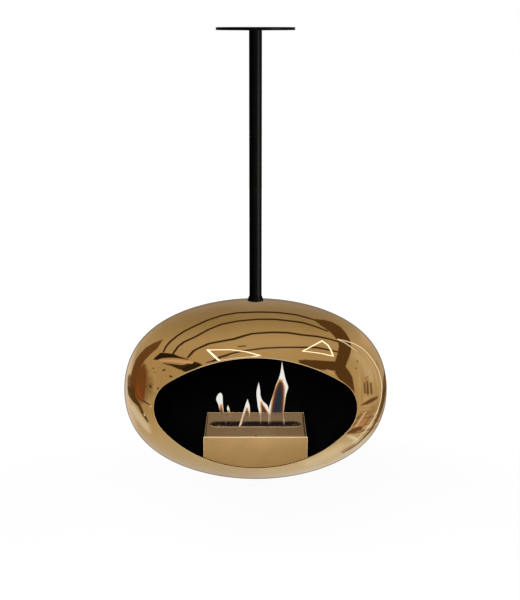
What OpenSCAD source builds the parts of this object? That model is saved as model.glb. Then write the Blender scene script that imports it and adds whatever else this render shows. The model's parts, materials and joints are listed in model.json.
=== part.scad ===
// Ceiling-hung bioethanol fireplace. A polished cocoon swivels under a fixed pole, and a loose
// burner box with a sliding damper stands inside it on a tray.
// Millimetres, +Z up. The opening faces -Y. The origin is the middle of the face that lies
// against the ceiling.

/* [Ceiling fixing] */
// Diameter of the ceiling plate
plate_d = 170; // [150:1:240]
// Thickness of the ceiling plate
plate_t = 6; // [5:0.5:12]
// Pitch circle of the ceiling screws
screw_pcd = 130; // [70:1:145]
// Number of ceiling screws
screw_count = 4; // [3:1:6]
// Hole for each ceiling screw
screw_hole_d = 8.5; // [6:0.1:10]
// Countersink for each ceiling screw
screw_head_d = 15; // [12:0.5:17]
// Height of the spigot that the pole slides over
spigot_h = 60; // [45:1:120]
// Thread of the screw that holds the spigot
spigot_screw_d = 10; // [6:1:12]
// Length of the screw that holds the spigot
spigot_screw_l = 28; // [20:1:40]

/* [Pole] */
// Distance from the ceiling to the top of the cocoon
drop_h = 600; // [300:5:1500]
// Outer diameter of the pole
pole_d = 28; // [25:0.5:40]
// Wall of the pole
pole_wall = 2; // [1.5:0.25:3]
// How far the collar stands out from the pole at its foot
collar_flare = 4; // [2:0.5:12]
// Height of the collar
collar_h = 11; // [6:1:14]
// Diameter of the grub screws in the pole
grub_d = 6; // [4:0.5:6]
// Distance between the two grub screws at each end of the pole
grub_pitch = 22; // [12:1:24]

/* [Swivel] */
// Journal of the spindle
spindle_d = 16; // [15:0.5:18]
// Thread of the spindle
thread_d = 14; // [10:1:14]
// Height of the spindle's plug inside the pole
plug_h = 50; // [45:1:80]
// Diameter of the saddle inside the cocoon's crown
saddle_d = 80; // [78:1:100]
// Thickness of the saddle on its axis
saddle_t = 14; // [10:1:20]
// Diameter of the saddle's hub
hub_d = 36; // [32:1:38]
// Height of the hub below the saddle
hub_h = 8; // [4:1:16]
// Wall of the swivel bush
bush_wall = 3; // [1.5:0.5:5]
// Flange of the swivel bush
bush_flange_t = 3; // [2:0.5:5]
// Thickness of the thrust washer
washer_t = 3; // [2:0.5:5]
// Pitch circle of the saddle's studs
stud_pcd = 58; // [56:1:60]
// Diameter of the saddle's studs
stud_d = 6; // [4:0.5:6]

/* [Cocoon] */
// Width of the cocoon
cocoon_w = 600; // [570:1:660]
// Height of the cocoon, which is also its depth before the opening is cut
cocoon_h = 413; // [400:1:450]
// Radius of the cocoon's two ends
end_r = 181.5; // [172:0.5:188]
// Thickness of the outer shell
shell_t = 2; // [1:0.1:3]
// Thickness of the inner liner
liner_t = 1.5; // [1:0.1:2.5]
// Space between the shell and the liner
liner_gap = 0.5; // [0.3:0.1:2]

/* [Opening] */
// Width of the opening
opening_w = 442; // [380:1:470]
// Top of the opening above the cocoon's axis
opening_top = 120; // [95:1:140]
// Bottom of the opening below the cocoon's axis
opening_bottom = 134; // [110:1:145]
// Radius of the opening's two ends
opening_end_r = 71; // [55:1:85]
// Height of the opening's widest line above the cocoon's axis
opening_rise = 1; // [-10:1:10]

/* [Burner] */
// Width of the burner casing
burner_w = 230; // [226:1:236]
// Depth of the burner with its front panel
burner_d = 170; // [160:1:176]
// Height of the burner casing
burner_h = 75; // [68:1:95]
// Sheet of the burner casing
casing_t = 1.5; // [1:0.1:2]
// Thickness of the front panel
panel_t = 2.5; // [2:0.1:4]
// How far the front panel overhangs the casing at each side
panel_over = 2; // [0:0.5:3]
// How far the front panel hangs below the casing
panel_drop = 2.5; // [0:0.5:2.5]
// Thickness of the top plate
top_t = 3; // [2:0.1:5]
// Gap between the top plate and the casing at the sides
side_gap = 1.5; // [0.5:0.1:2]
// Gap between the top plate and the casing at the back
back_gap = 4; // [1:0.5:5]
// Length of the flame slot
slot_l = 209; // [160:1:210]
// Width of the flame slot
slot_w = 34; // [28:1:40]
// Width of the raised rim round the slot
rim_w = 2; // [1:0.5:3]
// Height of the raised rim round the slot
rim_h = 1; // [0.5:0.1:2]
// Hole near the top plate's front edge, for lifting it out
lift_hole_d = 4; // [3:0.5:6]

/* [Damper] */
// Sheet of the damper
damper_t = 1.5; // [1:0.1:2.5]
// How far the damper covers past the slot on each side
damper_cover = 4; // [3:0.5:5]
// Length of the damper's upturned grip
grip_l = 60; // [30:1:120]
// Height of the grip above the top plate
grip_rise = 1; // [0:0.5:4]
// Sheet of the damper's rails
rail_t = 1.2; // [1:0.1:1.5]
// Width of the rail's lip under the damper
rail_lip = 3.5; // [2:0.1:4]

/* [Fuel tank] */
// Length of the tank
tank_l = 200; // [180:1:204]
// Width of the tank
tank_w = 90; // [60:1:100]
// Height of the tank
tank_h = 56; // [40:1:58]
// Sheet of the tank
tank_t = 1; // [0.8:0.1:1.5]
// Width of the flange round the tank's mouth
tank_flange = 6; // [3:0.5:6]
// Height of the ceramic wool
wool_h = 38; // [20:1:39]

/* [Tray] */
// Length of the tray
tray_l = 200; // [190:1:210]
// Width of the tray
tray_w = 150; // [140:1:155]
// Thickness of the tray
tray_t = 2; // [1.5:0.1:3]
// Height of the tray's top above the lowest point inside the liner
tray_rise = 36.5; // [35:0.5:50]
// Distance between the two ribs under the tray
rib_pitch = 140; // [110:1:160]
// Sheet of the ribs
rib_t = 3; // [2:0.1:5]
// Width of the flange along the top of each rib
rib_flange = 18; // [14:1:24]
// Diameter of the tray's screws
tray_screw_d = 5; // [4:0.5:6]
// Height of the burner's rubber feet
foot_h = 3; // [2:0.5:6]
// Diameter of the burner's rubber feet
foot_d = 16; // [10:1:20]

/* [Hidden] */
$fn = 96;
body_fn = 240;
over = 1;                     // how far a cutting shape runs past what it cuts
fit_gap = 0.05;               // radial clearance of a running or sliding fit
bolt_gap = 0.4;               // radial clearance of a hole round a bolt or stud
seat_gap = 0.3;               // gap between curved faces that seat on each other
thrust_gap = 0.1;             // gap between the bush flange and the thrust washer
slide_gap = 0.3;              // gap on each side of the damper in its rails
edge_break = 0.8;             // chamfer on turned and plate edges

black_paint = "#17171a";
gold_polish = "#c8a165";
gold_satin = "#a5844f";
bare_steel = "#a9adb2";
bronze_metal = "#a77b3e";
wool_white = "#dcd8cf";
rubber_black = "#202022";

// Pole
pole_r = pole_d / 2;
pole_bore = pole_d - 2 * pole_wall;
cocoon_top = -drop_h;
pole_foot = cocoon_top + 1;
grub_bite = 4;                // how far a grub screw enters the spigot or the plug
grub_l = pole_wall + grub_bite - 0.3;
grub_key = 3;
upper_grub_drop = 20;         // from the plate to the first grub screw
lower_grub_rise = 6;          // from the collar to the first grub screw
upper_grub_z = [-plate_t - upper_grub_drop, -plate_t - upper_grub_drop - grub_pitch];
lower_grub_z = [pole_foot + collar_h + lower_grub_rise,
                pole_foot + collar_h + lower_grub_rise + grub_pitch];

// Cocoon: each side of its outline is one wide arc, and each end one narrow arc
cocoon_z = cocoon_top - cocoon_h / 2;
half_w = cocoon_w / 2;
half_h = cocoon_h / 2;
liner_out = shell_t + liner_gap;
liner_in = liner_out + liner_t;
spindle_hole_d = spindle_d + 2;

// Swivel stack, from the liner downwards
saddle_top = cocoon_top - liner_in - seat_gap;
saddle_foot = saddle_top - saddle_t;
hub_foot = saddle_foot - hub_h;
bush_foot = hub_foot - bush_flange_t;
washer_top = bush_foot - thrust_gap;
nut_top = washer_top - washer_t;
nut_flats = 1.5 * thread_d + 1;
nut_h = 0.75 * thread_d;
crown_h = 5;
crown_d = nut_flats - 2;
nut_slot = 3.6;
nut_foot = nut_top - nut_h - crown_h;
spindle_foot = nut_foot - 3;
pin_d = 3;
pin_z = nut_foot + crown_h / 2;
bush_d = spindle_d + 2 * fit_gap + 2 * bush_wall;
flange_d = bush_d + 9;
stud_show = 8;                // how far the saddle's studs come through it
stud_foot = saddle_foot - stud_show;

// Burner
liner_floor = cocoon_z - half_h + liner_in;
tray_top = liner_floor + tray_rise;
casing_foot = tray_top + foot_h;
casing_top = casing_foot + burner_h;
casing_front = -burner_d / 2 + panel_t;
casing_back = burner_d / 2;
casing_r = 2;
top_foot = casing_top - top_t;
top_w = burner_w - 2 * casing_t - 2 * side_gap;
top_front = casing_front + casing_t + 0.5;
top_back = casing_back - casing_t - back_gap;
ledge_w = 8;
ledge_inset = 15;             // from the casing's side to a ledge
ledge_gap = 40;               // between two ledges on one side
panel_stud_d = 4;
panel_stud_inset = 20;        // from the casing's side to a stud
panel_stud_edge = 14;         // from the casing's top or foot to a stud
panel_stud_x = burner_w / 2 - panel_stud_inset;
panel_stud_z = [casing_top - panel_stud_edge, casing_foot + panel_stud_edge];

// Damper: it lies in front of the slot, and slides back to close it
damper_top = top_foot - slide_gap;
damper_foot = damper_top - damper_t;
damper_w = slot_l + 2 * damper_cover;
damper_back = -slot_w / 2 + slide_gap + damper_t;
damper_travel = slot_w - 2 * slide_gap - damper_t;
damper_front = -slot_w / 2 - damper_cover - damper_travel;
rail_x = damper_w / 2 + slide_gap;
rail_foot = damper_foot - slide_gap - rail_t;
rail_front = damper_front - slide_gap - rail_t;
rail_back = damper_back + damper_travel + slide_gap + rail_t;

// Tank
tank_top = rail_foot - 1;
tank_foot = tank_top - tank_h;
tank_r = 8;
spacer_d = 14;
spacer_inset = [20, 15];      // from the tank's end and side to the middle of a spacer
casing_floor = casing_foot + casing_t;

// Tray
tray_foot = tray_top - tray_t;
rib_x = rib_pitch / 2;
tray_screw_x = rib_x - rib_t - (rib_flange - rib_t) / 2;
tray_screw_inset = 28;        // from the tray's edge to a screw
tray_screw_y = tray_w / 2 - tray_screw_inset;
tray_head_d = 1.8 * tray_screw_d;
tray_nut_h = 0.8 * tray_screw_d;
foot_inset = [16, 15];        // from the tray's end and side to the middle of a foot
foot_x = tray_l / 2 - foot_inset[0];
foot_y = tray_w / 2 - foot_inset[1];

// ---- Shapes that several parts share ----

// Disc with broken edges, its foot at z = 0
module broken_disc(d, h, b = edge_break) {
    rotate_extrude()
        polygon([[0, 0], [d / 2 - b, 0], [d / 2, b], [d / 2, h - b], [d / 2 - b, h], [0, h]]);
}

// Hole with a 90 degree countersink that opens at z = 0 and a shank that runs down
module sunk_hole(d, head_d, depth) {
    translate([0, 0, -depth])
        cylinder(d = d, h = depth + over);
    translate([0, 0, -(head_d - d) / 2])
        cylinder(d1 = d, d2 = head_d, h = (head_d - d) / 2);
    cylinder(d = head_d, h = over);
}

// Countersunk socket screw, its head flush with z = 0 and its shank running down
module sunk_screw(d, head_d, l) {
    head_h = (head_d - d) / 2;
    difference() {
        rotate_extrude()
            polygon([[0, -l], [d / 2 - 0.5, -l], [d / 2, -l + 0.5], [d / 2, -head_h],
                     [head_d / 2 - 0.3, -0.3], [head_d / 2 - 0.3, 0], [0, 0]]);
        translate([0, 0, -head_h])
            cylinder(d = 0.65 * d, h = head_h + over, $fn = 6);
    }
}

// Hexagon nut with turned corners, its foot at z = 0
module hex_nut(bore_d, flats, h) {
    corner_r = flats / sqrt(3);
    difference() {
        intersection() {
            cylinder(r = corner_r, h = h, $fn = 6);
            rotate_extrude()
                polygon([[0, 0], [flats / 2, 0], [corner_r, (corner_r - flats / 2) * 0.6],
                         [corner_r, h - (corner_r - flats / 2) * 0.6], [flats / 2, h], [0, h]]);
        }
        translate([0, 0, -over])
            cylinder(d = bore_d + 2 * fit_gap, h = h + 2 * over);
    }
}

// Grub screw along +Y, its outer end at y = 0
module grub_screw() {
    rotate([90, 0, 0])
        difference() {
            cylinder(d = grub_d, h = grub_l);
            translate([0, 0, -over])
                cylinder(d = grub_key, h = 2.5 + over, $fn = 6);
        }
}

// Hole that a grub screw sits in, from the pole's surface inwards
module grub_hole() {
    rotate([90, 0, 0])
        translate([0, 0, -over])
            cylinder(d = grub_d + 2 * fit_gap, h = over + pole_wall + grub_bite);
}

// Outline with round corners, centred
module round_rect(w, d, r) {
    square([w - 2 * r, d], center = true);
    square([w, d - 2 * r], center = true);
    for (x = [-1, 1], y = [-1, 1])
        translate([x * (w / 2 - r), y * (d / 2 - r)])
            circle(r = r);
}

// Long hole with round ends, centred
module slot_outline(l, w) {
    square([l - w, w], center = true);
    for (x = [-1, 1])
        translate([x * (l - w) / 2, 0])
            circle(d = w);
}

// One half of an oval: a wide arc from end to end, blended into two narrow end arcs.
// The half lies at x >= 0, its ends along y. Cutting the same arcs back by inset keeps an
// even wall.
module oval_half(half_l, rise, r_end, inset = 0) {
    offset_l = half_l - r_end;
    r_side = (pow(half_l, 2) + pow(rise, 2) - 2 * half_l * r_end) / (2 * (rise - r_end));
    blend = offset_l + (r_end - inset) * offset_l / (r_side - r_end);
    intersection() {
        union() {
            intersection() {
                translate([rise - r_side, 0])
                    circle(r = r_side - inset, $fn = body_fn);
                translate([0, -blend])
                    square([half_l, 2 * blend]);
            }
            for (s = [-1, 1])
                translate([0, s * offset_l])
                    circle(r = r_end - inset, $fn = body_fn);
        }
        translate([0, -half_l])
            square([half_l, 2 * half_l]);
    }
}

// The cocoon's full form, cut back by inset all round
module cocoon_form(inset) {
    translate([0, 0, cocoon_z])
        rotate([0, 90, 0])
            rotate_extrude($fn = body_fn)
                oval_half(half_w, half_h, end_r, inset);
}

// Block round the front half, with the opening cut straight through it
module front_block() {
    translate([0, 0, cocoon_z])
        rotate([90, 0, 0])
            linear_extrude(half_h + over)
                difference() {
                    square(2 * cocoon_w, center = true);
                    translate([0, opening_rise]) {
                        rotate(90)
                            oval_half(opening_w / 2, opening_top - opening_rise, opening_end_r);
                        rotate(-90)
                            oval_half(opening_w / 2, opening_bottom + opening_rise,
                                      opening_end_r);
                    }
                }
}

// Block round the back half
module back_block() {
    translate([-cocoon_w, 0, cocoon_z - cocoon_w])
        cube([2 * cocoon_w, cocoon_w, 2 * cocoon_w]);
}

// Open skin between two insets: a front half with the opening, welded to a back half
module cocoon_skin(outside, inside) {
    intersection() {
        cocoon_hollow(outside, inside);
        front_block();
    }
    intersection() {
        cocoon_hollow(outside, inside);
        back_block();
    }
}

module cocoon_hollow(outside, inside) {
    difference() {
        cocoon_form(outside);
        cocoon_form(inside);
    }
}

// Hole down through the cocoon's crown
module crown_hole(d) {
    translate([0, 0, cocoon_top - half_h / 2])
        cylinder(d = d, h = half_h);
}

// The four places of the studs round the swivel
module at_studs() {
    for (a = [45 : 90 : 315])
        rotate(a)
            translate([stud_pcd / 2, 0, 0])
                children();
}

// The four places of the screws in the tray
module at_tray_screws() {
    for (x = [-1, 1], y = [-1, 1])
        translate([x * tray_screw_x, y * tray_screw_y, tray_top])
            children();
}

// The four places of the studs behind the front panel
module at_panel_studs() {
    for (x = [-1, 1], z = panel_stud_z)
        translate([x * panel_stud_x, casing_front, z])
            rotate([-90, 0, 0])
                children();
}

// ---- Ceiling fixing and pole ----

module ceiling_plate() {
    color(black_paint)
        difference() {
            translate([0, 0, -plate_t])
                broken_disc(plate_d, plate_t);
            for (i = [0 : screw_count - 1])
                rotate(45 + i * 360 / screw_count)
                    translate([screw_pcd / 2, 0, -plate_t])
                        rotate([180, 0, 0])
                            sunk_hole(screw_hole_d, screw_head_d, plate_t);
            sunk_hole(spigot_screw_d + 2 * bolt_gap, 1.6 * spigot_screw_d, plate_t);
        }
}

module pole_spigot() {
    color(bare_steel)
        difference() {
            translate([0, 0, -plate_t - spigot_h])
                broken_disc(pole_bore - 2 * fit_gap, spigot_h);
            translate([0, 0, -spigot_screw_l - 3])
                cylinder(d = spigot_screw_d + 2 * fit_gap, h = spigot_screw_l + 3);
            for (z = upper_grub_z)
                translate([0, pole_r, z])
                    grub_hole();
        }
}

module spigot_screw() {
    color(bare_steel)
        sunk_screw(spigot_screw_d, 1.6 * spigot_screw_d, spigot_screw_l);
}

module pole_tube() {
    color(black_paint)
        difference() {
            translate([0, 0, pole_foot])
                cylinder(d = pole_d, h = -plate_t - pole_foot);
            translate([0, 0, pole_foot - over])
                cylinder(d = pole_bore, h = -plate_t - pole_foot + 2 * over);
            for (z = concat(upper_grub_z, lower_grub_z))
                translate([0, pole_r, z])
                    grub_hole();
        }
}

module upper_grub_screws() {
    color(bare_steel)
        for (z = upper_grub_z)
            translate([0, pole_r, z])
                grub_screw();
}

module lower_grub_screws() {
    color(bare_steel)
        for (z = lower_grub_z)
            translate([0, pole_r, z])
                grub_screw();
}

module pole_collar() {
    bore_r = pole_r + fit_gap;
    top_r = pole_r + 0.8;
    foot_r = pole_r + collar_flare;
    color(black_paint)
        translate([0, 0, cocoon_top + seat_gap])
            rotate_extrude()
                polygon([[bore_r, 0], [foot_r, 0], [foot_r, 1], [top_r, collar_h - 0.5],
                         [top_r - 0.3, collar_h], [bore_r, collar_h]]);
}

// ---- Swivel ----

module swivel_spindle() {
    plug_r = pole_bore / 2 - fit_gap;
    journal_r = spindle_d / 2;
    thread_r = thread_d / 2;
    plug_top = pole_foot + plug_h;
    color(bare_steel)
        difference() {
            rotate_extrude()
                polygon([[0, spindle_foot], [thread_r - 1, spindle_foot],
                         [thread_r, spindle_foot + 1], [thread_r, washer_top],
                         [journal_r, washer_top], [journal_r, pole_foot], [plug_r, pole_foot],
                         [plug_r, plug_top - 1], [plug_r - 1, plug_top], [0, plug_top]]);
            translate([0, 0, pin_z])
                rotate([0, 90, 0])
                    cylinder(d = pin_d + 2 * bolt_gap, h = thread_d + 2 * over, center = true);
            for (z = lower_grub_z)
                translate([0, pole_r, z])
                    grub_hole();
        }
}

module thrust_washer() {
    color(bare_steel)
        translate([0, 0, nut_top])
            difference() {
                broken_disc(flange_d, washer_t, 0.5);
                translate([0, 0, -over])
                    cylinder(d = thread_d + 2 * fit_gap, h = washer_t + 2 * over);
            }
}

module castle_nut() {
    color(bare_steel)
        translate([0, 0, nut_foot])
            difference() {
                union() {
                    translate([0, 0, crown_h])
                        hex_nut(thread_d, nut_flats, nut_h);
                    cylinder(d = crown_d, h = crown_h);
                }
                translate([0, 0, -over])
                    cylinder(d = thread_d + 2 * fit_gap, h = crown_h + 2 * over);
                for (a = [0, 60, 120])
                    rotate(a)
                        translate([-nut_flats, -nut_slot / 2, -over])
                            cube([2 * nut_flats, nut_slot, crown_h + over]);
            }
}

module split_pin() {
    eye_r = 2.6;
    wire_d = pin_d / 2;
    reach = crown_d / 2 + 2;
    color(bare_steel)
        translate([0, 0, pin_z]) {
            rotate([0, 90, 0])
                cylinder(d = pin_d, h = 2 * reach, center = true);
            translate([-reach - eye_r, 0, 0])
                rotate([90, 0, 0])
                    rotate_extrude()
                        translate([eye_r, 0])
                            circle(d = wire_d);
            for (a = [-50, 50])
                translate([reach - 0.5, 0, 0])
                    rotate([0, 90, a])
                        cylinder(d = wire_d, h = 8);
        }
}

module top_saddle() {
    color(black_paint)
        difference() {
            union() {
                intersection() {
                    cocoon_form(liner_in + seat_gap);
                    translate([0, 0, saddle_foot])
                        cylinder(d = saddle_d, h = saddle_t + over);
                }
                translate([0, 0, hub_foot])
                    cylinder(d = hub_d, h = hub_h + over);
            }
            translate([0, 0, hub_foot - over])
                cylinder(d = bush_d + 2 * fit_gap, h = hub_h + saddle_t + 2 * over);
            at_studs()
                translate([0, 0, saddle_foot - over])
                    cylinder(d = stud_d + 2 * bolt_gap, h = saddle_t + 2 * over);
        }
}

module swivel_bush() {
    color(bronze_metal)
        difference() {
            union() {
                translate([0, 0, hub_foot])
                    cylinder(d = bush_d, h = saddle_top - hub_foot - seat_gap);
                translate([0, 0, bush_foot])
                    broken_disc(flange_d, bush_flange_t, 0.5);
            }
            translate([0, 0, bush_foot - over])
                cylinder(d = spindle_d + 2 * fit_gap, h = saddle_top - bush_foot + 2 * over);
        }
}

module saddle_studs() {
    color(bare_steel)
        intersection() {
            cocoon_form(shell_t + fit_gap);
            at_studs()
                translate([0, 0, stud_foot])
                    cylinder(d = stud_d, h = cocoon_top - stud_foot);
        }
}

module saddle_nuts() {
    flats = 1.5 * stud_d + 1;
    nut_t = 0.85 * stud_d;
    color(bare_steel)
        at_studs()
            translate([0, 0, saddle_foot - nut_t])
                hex_nut(stud_d, flats, nut_t);
}

// ---- Cocoon ----

module outer_shell() {
    color(gold_polish)
        difference() {
            cocoon_skin(0, shell_t);
            crown_hole(spindle_hole_d);
        }
}

module inner_liner() {
    color(black_paint)
        difference() {
            cocoon_skin(liner_out, liner_in);
            crown_hole(spindle_hole_d);
            at_studs()
                crown_hole(stud_d + 2 * bolt_gap);
        }
}

// ---- Tray and ribs ----

// Angle under one end of the tray. Its web is cut to the liner's curve.
module cradle_rib(side) {
    web_x = side > 0 ? rib_x - rib_t : -rib_x;
    flange_x = side > 0 ? rib_x - rib_flange : -rib_x;
    color(black_paint)
        difference() {
            union() {
                intersection() {
                    cocoon_form(liner_in + seat_gap);
                    translate([web_x, -tray_w / 2, liner_floor - over])
                        cube([rib_t, tray_w, tray_foot - liner_floor + over]);
                }
                translate([flange_x, -tray_w / 2, tray_foot - rib_t])
                    cube([rib_flange, tray_w, rib_t]);
            }
            at_tray_screws()
                translate([0, 0, -2 * tray_rise])
                    cylinder(d = tray_screw_d + 2 * bolt_gap, h = 2 * tray_rise);
        }
}

module cradle_rib_left() {
    cradle_rib(-1);
}

module cradle_rib_right() {
    cradle_rib(1);
}

module burner_tray() {
    color(black_paint)
        difference() {
            translate([0, 0, tray_foot])
                linear_extrude(tray_t)
                    round_rect(tray_l, tray_w, 6);
            at_tray_screws()
                sunk_hole(tray_screw_d + 2 * bolt_gap, tray_head_d, tray_rise);
        }
}

module tray_screws() {
    color(bare_steel)
        at_tray_screws()
            sunk_screw(tray_screw_d, tray_head_d, tray_t + rib_t + tray_nut_h + 1);
}

module tray_nuts() {
    color(bare_steel)
        at_tray_screws()
            translate([0, 0, -tray_t - rib_t - tray_nut_h])
                hex_nut(tray_screw_d, 1.6 * tray_screw_d, tray_nut_h);
}

// ---- Burner ----

module burner_feet() {
    color(rubber_black)
        for (x = [-1, 1], y = [-1, 1])
            translate([x * foot_x, y * foot_y, tray_top])
                broken_disc(foot_d, foot_h, 0.5);
}

module burner_casing() {
    depth = casing_back - casing_front;
    inner_w = burner_w - 2 * casing_t;
    ledge_l = (inner_w - ledge_gap) / 2 - ledge_inset;
    color(gold_satin)
        difference() {
            union() {
                translate([0, (casing_back + casing_front) / 2, casing_foot])
                    difference() {
                        linear_extrude(burner_h)
                            round_rect(burner_w, depth, casing_r);
                        translate([0, 0, casing_t])
                            linear_extrude(burner_h)
                                square([inner_w, depth - 2 * casing_t], center = true);
                    }
                for (x = [-1, 1], y = [casing_front + casing_t, casing_back - casing_t - ledge_w])
                    translate([x * (ledge_l + ledge_gap) / 2 - ledge_l / 2, y, top_foot - casing_t])
                        cube([ledge_l, ledge_w, casing_t]);
            }
            at_panel_studs()
                translate([0, 0, -over])
                    cylinder(d = panel_stud_d + 2 * bolt_gap, h = casing_t + 2 * over);
        }
}

module burner_front_panel() {
    stud_l = casing_t + 0.8 * panel_stud_d + 1;
    color(gold_satin) {
        translate([0, casing_front, (casing_top + casing_foot - panel_drop) / 2])
            rotate([90, 0, 0])
                linear_extrude(panel_t)
                    round_rect(burner_w + 2 * panel_over, burner_h + panel_drop, 1);
        at_panel_studs()
            translate([0, 0, -over])
                cylinder(d = panel_stud_d, h = stud_l + over);
    }
}

module panel_nuts() {
    color(bare_steel)
        at_panel_studs()
            translate([0, 0, casing_t])
                hex_nut(panel_stud_d, 1.75 * panel_stud_d, 0.8 * panel_stud_d);
}

module burner_top_plate() {
    color(gold_satin)
        difference() {
            union() {
                translate([0, (top_front + top_back) / 2, top_foot])
                    linear_extrude(top_t)
                        round_rect(top_w, top_back - top_front, 1);
                translate([0, 0, top_foot])
                    linear_extrude(top_t + rim_h)
                        slot_outline(slot_l + 2 * rim_w, slot_w + 2 * rim_w);
            }
            translate([0, 0, top_foot - over])
                linear_extrude(top_t + rim_h + 2 * over)
                    slot_outline(slot_l, slot_w);
            translate([0, top_front + lift_hole_d, top_foot - over])
                cylinder(d = lift_hole_d, h = top_t + 2 * over);
        }
}

// Angle under the top plate that one end of the damper runs in, with a stop at each end
module damper_rail(side) {
    rail_l = rail_back - rail_front;
    rail_h = top_foot - rail_foot;
    color(bare_steel)
        translate([side > 0 ? rail_x : -rail_x - rail_t, rail_front, rail_foot]) {
            cube([rail_t, rail_l, rail_h]);
            translate([side > 0 ? -rail_lip : rail_t - over, 0, 0]) {
                cube([rail_lip + over, rail_l, rail_t]);
                for (y = [0, rail_l - rail_t])
                    translate([0, y, 0])
                        cube([rail_lip + over, rail_t, rail_h]);
            }
        }
}

module damper_rail_left() {
    damper_rail(-1);
}

module damper_rail_right() {
    damper_rail(1);
}

module damper_plate() {
    color(bare_steel) {
        translate([-damper_w / 2, damper_front, damper_foot])
            cube([damper_w, damper_back - damper_front, damper_t]);
        translate([-grip_l / 2, damper_back - damper_t, damper_foot])
            cube([grip_l, damper_t, casing_top + grip_rise - damper_foot]);
    }
}

module fuel_tank() {
    color(bare_steel)
        difference() {
            union() {
                translate([0, 0, tank_foot])
                    linear_extrude(tank_h)
                        round_rect(tank_l, tank_w, tank_r);
                translate([0, 0, tank_top - tank_t])
                    linear_extrude(tank_t)
                        round_rect(tank_l + 2 * tank_flange, tank_w + 2 * tank_flange,
                                   tank_r + tank_flange);
            }
            translate([0, 0, tank_foot + tank_t])
                linear_extrude(tank_h)
                    round_rect(tank_l - 2 * tank_t, tank_w - 2 * tank_t, tank_r - tank_t);
        }
}

module tank_spacers() {
    color(bare_steel)
        for (x = [-1, 1], y = [-1, 1])
            translate([x * (tank_l / 2 - spacer_inset[0]), y * (tank_w / 2 - spacer_inset[1]),
                       casing_floor])
                cylinder(d = spacer_d, h = tank_foot - casing_floor);
}

module ceramic_wool() {
    wool_gap = 1;
    color(wool_white)
        translate([0, 0, tank_foot + tank_t + seat_gap])
            linear_extrude(wool_h)
                round_rect(tank_l - 2 * (tank_t + wool_gap), tank_w - 2 * (tank_t + wool_gap),
                           tank_r - tank_t - wool_gap);
}

ceiling_plate();
pole_spigot();
spigot_screw();
pole_tube();
upper_grub_screws();
lower_grub_screws();
pole_collar();
swivel_spindle();
thrust_washer();
castle_nut();
split_pin();
outer_shell();
inner_liner();
top_saddle();
swivel_bush();
saddle_studs();
saddle_nuts();
cradle_rib_left();
cradle_rib_right();
burner_tray();
tray_screws();
tray_nuts();
burner_feet();
burner_casing();
burner_front_panel();
panel_nuts();
burner_top_plate();
damper_rail_left();
damper_rail_right();
damper_plate();
fuel_tank();
tank_spacers();
ceramic_wool();
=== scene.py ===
import json
import math

import bpy
import numpy as np
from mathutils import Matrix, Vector


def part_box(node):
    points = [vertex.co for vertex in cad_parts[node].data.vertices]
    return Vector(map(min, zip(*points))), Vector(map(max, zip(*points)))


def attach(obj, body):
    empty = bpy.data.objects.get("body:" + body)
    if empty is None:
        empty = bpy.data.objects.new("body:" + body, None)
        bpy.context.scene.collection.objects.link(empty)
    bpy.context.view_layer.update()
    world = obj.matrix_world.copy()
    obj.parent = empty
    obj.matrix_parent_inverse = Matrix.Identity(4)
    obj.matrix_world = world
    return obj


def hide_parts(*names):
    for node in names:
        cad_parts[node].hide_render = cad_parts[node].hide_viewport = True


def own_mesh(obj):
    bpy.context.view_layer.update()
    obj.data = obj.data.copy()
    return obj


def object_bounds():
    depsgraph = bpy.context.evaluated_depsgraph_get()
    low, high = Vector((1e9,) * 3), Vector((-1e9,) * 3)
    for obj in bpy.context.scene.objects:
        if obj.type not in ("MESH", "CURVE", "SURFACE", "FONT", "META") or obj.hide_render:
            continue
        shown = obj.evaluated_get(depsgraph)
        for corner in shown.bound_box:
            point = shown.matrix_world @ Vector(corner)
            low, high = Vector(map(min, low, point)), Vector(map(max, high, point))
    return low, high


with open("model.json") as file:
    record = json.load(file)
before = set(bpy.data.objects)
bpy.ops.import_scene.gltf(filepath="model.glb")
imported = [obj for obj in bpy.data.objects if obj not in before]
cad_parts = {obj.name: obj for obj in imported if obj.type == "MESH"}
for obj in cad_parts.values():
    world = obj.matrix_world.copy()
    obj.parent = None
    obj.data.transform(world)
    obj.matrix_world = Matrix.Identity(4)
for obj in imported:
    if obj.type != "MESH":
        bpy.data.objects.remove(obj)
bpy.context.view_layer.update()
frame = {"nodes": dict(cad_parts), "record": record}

print("frame loaded:", len(frame["nodes"]), "nodes")


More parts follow.
